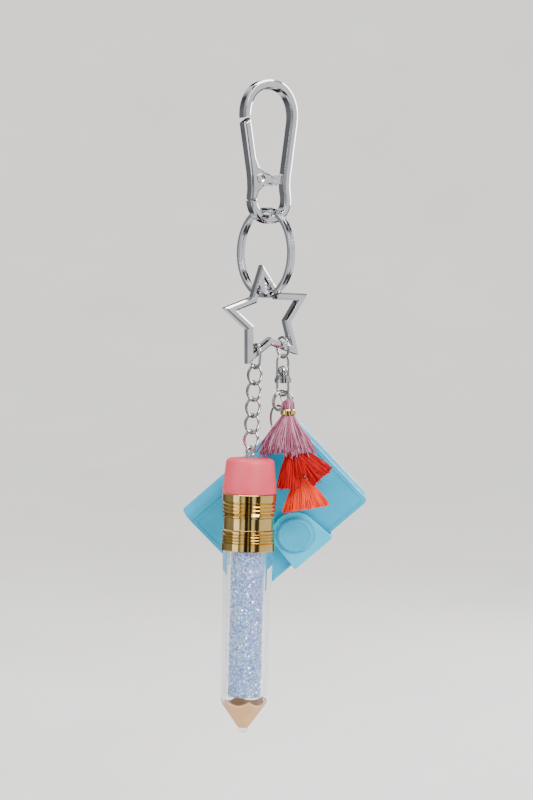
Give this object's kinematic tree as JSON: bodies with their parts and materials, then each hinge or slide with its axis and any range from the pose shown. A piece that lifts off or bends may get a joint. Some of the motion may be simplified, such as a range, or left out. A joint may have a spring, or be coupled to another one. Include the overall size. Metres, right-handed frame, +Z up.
{
  "type": "charm keychain",
  "caption": "Snap-hook charm keychain with split ring, star gate ring, curb chain with a glitter-filled pencil, and a swivel with a tiered tassel and mini photo album.",
  "frame": {"origin": "where the snap hook hangs: the middle of its top inner arc", "axes": "+Z up, +X to the right seen from the front, -Y towards the viewer (the front)"},
  "size_m": [0.064, 0.047, 0.2228],
  "materials": {
    "chrome": "polished",
    "nickel_wire": "polished",
    "pink_eraser": "satin",
    "gold_ferrule": "gloss",
    "clear_plastic": "gloss",
    "glitter_fluid": "gloss",
    "wood_tan": "satin",
    "thread_mauve": "satin",
    "thread_red": "satin",
    "thread_orange": "satin",
    "album_vinyl": "satin",
    "strap_vinyl": "satin",
    "clear_sleeve": "gloss",
    "snap_plastic": "gloss"
  },
  "bodies": {
    "carabiner": {"carabiner_body": "chrome", "carabiner_gate_rivet": "chrome", "carabiner_gate_spring": "chrome"},
    "carabiner_gate": {"carabiner_gate": "chrome"},
    "split_ring": {"split_ring": "chrome"},
    "star_ring": {"star_frame": "chrome", "star_gate_pin": "chrome"},
    "star_gate": {"star_gate": "chrome"},
    "chain_jump_ring": {"chain_jump_ring": "nickel_wire"},
    "chain_link_1": {"chain_link_1": "nickel_wire"},
    "chain_link_2": {"chain_link_2": "nickel_wire"},
    "chain_link_3": {"chain_link_3": "nickel_wire"},
    "chain_link_4": {"chain_link_4": "nickel_wire"},
    "chain_link_5": {"chain_link_5": "nickel_wire"},
    "pencil": {"pencil_eye_screw": "nickel_wire", "eraser_cap": "pink_eraser", "ferrule": "gold_ferrule", "tube_stopper": "clear_plastic", "hex_tube": "clear_plastic", "glitter_fluid": "glitter_fluid", "wood_cone": "wood_tan", "pencil_nib": "clear_plastic"},
    "swivel_jump_ring": {"swivel_jump_ring": "nickel_wire"},
    "swivel_upper": {"swivel_upper_bail": "nickel_wire"},
    "swivel_lower": {"swivel_pin": "nickel_wire", "swivel_lower_loop": "nickel_wire"},
    "charm_ring": {"charm_ring": "nickel_wire"},
    "tassel_ring": {"tassel_ring": "nickel_wire"},
    "tassel": {"tassel_head_loop": "thread_mauve", "tassel_band_gold": "gold_ferrule", "tassel_skirt_mauve": "thread_mauve", "tassel_cord": "thread_mauve", "tassel_binding_red": "thread_red", "tassel_skirt_red_left": "thread_red", "tassel_skirt_red_right": "thread_red", "tassel_binding_orange": "thread_orange", "tassel_skirt_orange": "thread_orange"},
    "album_ring": {"album_ring": "nickel_wire"},
    "album": {"album_front_cover": "album_vinyl", "album_eyelet": "nickel_wire", "album_spine": "album_vinyl", "snap_stud": "snap_plastic", "snap_stud_back": "snap_plastic"},
    "album_back": {"album_back_cover": "album_vinyl", "album_strap_tail": "strap_vinyl"},
    "album_pages": {"album_page_1": "clear_sleeve", "album_page_2": "clear_sleeve", "album_page_3": "clear_sleeve", "album_page_4": "clear_sleeve", "album_page_5": "clear_sleeve"},
    "strap": {"album_strap": "strap_vinyl", "snap_cap": "snap_plastic", "snap_socket": "snap_plastic"}
  },
  "joints": [
    {"name": "carabiner_gate_hinge", "type": "hinge", "parent": "carabiner", "child": "carabiner_gate", "pos_m": [-0.004, -0.00195, -0.0304], "axis": [-0.454, 0.891, 0], "range_deg": [0, 20], "stiffness_Nm_per_rad": 0.02, "springref_deg": -11.46, "deforming": ["carabiner_gate_spring"]},
    {"name": "split_ring_swing", "type": "hinge", "parent": "carabiner", "child": "split_ring", "pos_m": [-0.00048, -0.00016, -0.0441], "axis": [0.891, 0.454, 0], "range_deg": [-15, 15]},
    {"name": "star_swing", "type": "hinge", "parent": "split_ring", "child": "star_ring", "pos_m": [-0.0015, -0.00075, -0.0701], "axis": [0.5878, -0.809, 0], "range_deg": [-12, 12]},
    {"name": "star_gate_hinge", "type": "hinge", "parent": "star_ring", "child": "star_gate", "pos_m": [-0.00154, -0.0003, -0.06422], "axis": [-0.5592, 0.829, 0], "range_deg": [0, 10], "stiffness_Nm_per_rad": 0.002, "springref_deg": -11.46},
    {"name": "chain_jump_ring_swing", "type": "hinge", "parent": "star_ring", "child": "chain_jump_ring", "pos_m": [-0.0047, -0.00245, -0.08915], "axis": [0.8277, 0.5592, -0.0477], "range_deg": [-15, 0]},
    {"name": "chain_link_1_swing", "type": "hinge", "parent": "chain_jump_ring", "child": "chain_link_1", "pos_m": [-0.00502, -0.00245, -0.09474], "axis": [-0.5583, 0.829, 0.0322], "range_deg": [0, 10]},
    {"name": "chain_link_2_swing", "type": "hinge", "parent": "chain_link_1", "child": "chain_link_2", "pos_m": [-0.00534, -0.00245, -0.10027], "axis": [0.7059, -0.7071, -0.0407], "range_deg": [-10, 0]},
    {"name": "chain_link_3_swing", "type": "hinge", "parent": "chain_link_2", "child": "chain_link_3", "pos_m": [-0.0056, -0.00245, -0.1048], "axis": [0.7059, 0.7071, -0.0407], "range_deg": [-1.5, 4]},
    {"name": "chain_link_4_swing", "type": "hinge", "parent": "chain_link_3", "child": "chain_link_4", "pos_m": [-0.00598, -0.00245, -0.11137], "axis": [0.7059, -0.7071, -0.0407], "range_deg": [-10, 0]},
    {"name": "chain_link_5_swing", "type": "hinge", "parent": "chain_link_4", "child": "chain_link_5", "pos_m": [-0.00624, -0.00245, -0.1159], "axis": [0.7059, 0.7071, -0.0407], "range_deg": [-2.5, 8]},
    {"name": "pencil_swing", "type": "hinge", "parent": "chain_link_5", "child": "pencil", "pos_m": [-0.00662, -0.00245, -0.12247], "axis": [0.7059, -0.7071, -0.0407], "range_deg": [-15, 0]},
    {"name": "swivel_ring_swing", "type": "hinge", "parent": "star_ring", "child": "swivel_jump_ring", "pos_m": [0.00435, 0.00345, -0.0872], "axis": [0.829, 0.5592, 0], "range_deg": [0, 20]},
    {"name": "swivel_bail_swing", "type": "hinge", "parent": "swivel_jump_ring", "child": "swivel_upper", "pos_m": [0.00435, 0.00381, -0.09128], "axis": [-0.5592, 0.8259, 0.0723], "range_deg": [-15, 0]},
    {"name": "swivel_spin", "type": "hinge", "parent": "swivel_upper", "child": "swivel_lower", "pos_m": [0.00435, 0.00439, -0.09794], "axis": [0, -0.0872, 0.9962], "range_deg": [-20, 0], "deforming": ["tassel_skirt_red_left"]},
    {"name": "charm_ring_swing", "type": "hinge", "parent": "swivel_lower", "child": "charm_ring", "pos_m": [0.00385, 0.00542, -0.10407], "axis": [0.7071, -0.7071, 0], "range_deg": [0, 15]},
    {"name": "tassel_ring_swing", "type": "hinge", "parent": "swivel_lower", "child": "tassel_ring", "pos_m": [0.00541, 0.00382, -0.10361], "axis": [1, 0, 0], "range_deg": [-25, 0]},
    {"name": "tassel_swing", "type": "hinge", "parent": "tassel_ring", "child": "tassel", "pos_m": [0.00609, 0.00092, -0.10712], "axis": [0, 1, 0], "range_deg": [-12, 0]},
    {"name": "album_ring_swing", "type": "hinge", "parent": "charm_ring", "child": "album_ring", "pos_m": [0.00385, 0.00668, -0.10938], "axis": [0.8192, 0.5736, 0], "range_deg": [0, 15]},
    {"name": "album_swing", "type": "hinge", "parent": "album_ring", "child": "album", "pos_m": [0.00385, 0.01092, -0.11991], "axis": [0.5736, -0.8192, 0], "range_deg": [0, 12]},
    {"name": "album_cover_open", "type": "hinge", "parent": "album", "child": "album_back", "pos_m": [-0.00868, 0.0178, -0.13149], "axis": [0.7396, -0.1742, 0.6501], "range_deg": [0, 80], "deforming": ["album_spine", "album_strap", "snap_cap", "snap_socket"]},
    {"name": "album_pages_turn", "type": "hinge", "parent": "album", "child": "album_pages", "pos_m": [-0.00868, 0.0178, -0.13149], "axis": [0.7396, -0.1742, 0.6501], "range_deg": [0, 40]},
    {"name": "strap_open", "type": "hinge", "parent": "album_back", "child": "strap", "pos_m": [0.01511, 0.02897, -0.15711], "axis": [0.7396, -0.1742, 0.6501], "range_deg": [0, 100], "deforming": ["album_strap"]}
  ],
  "couplings": [
    {"joint": "album_pages_turn", "follows": "album_cover_open", "ratio": 0.5}
  ]
}
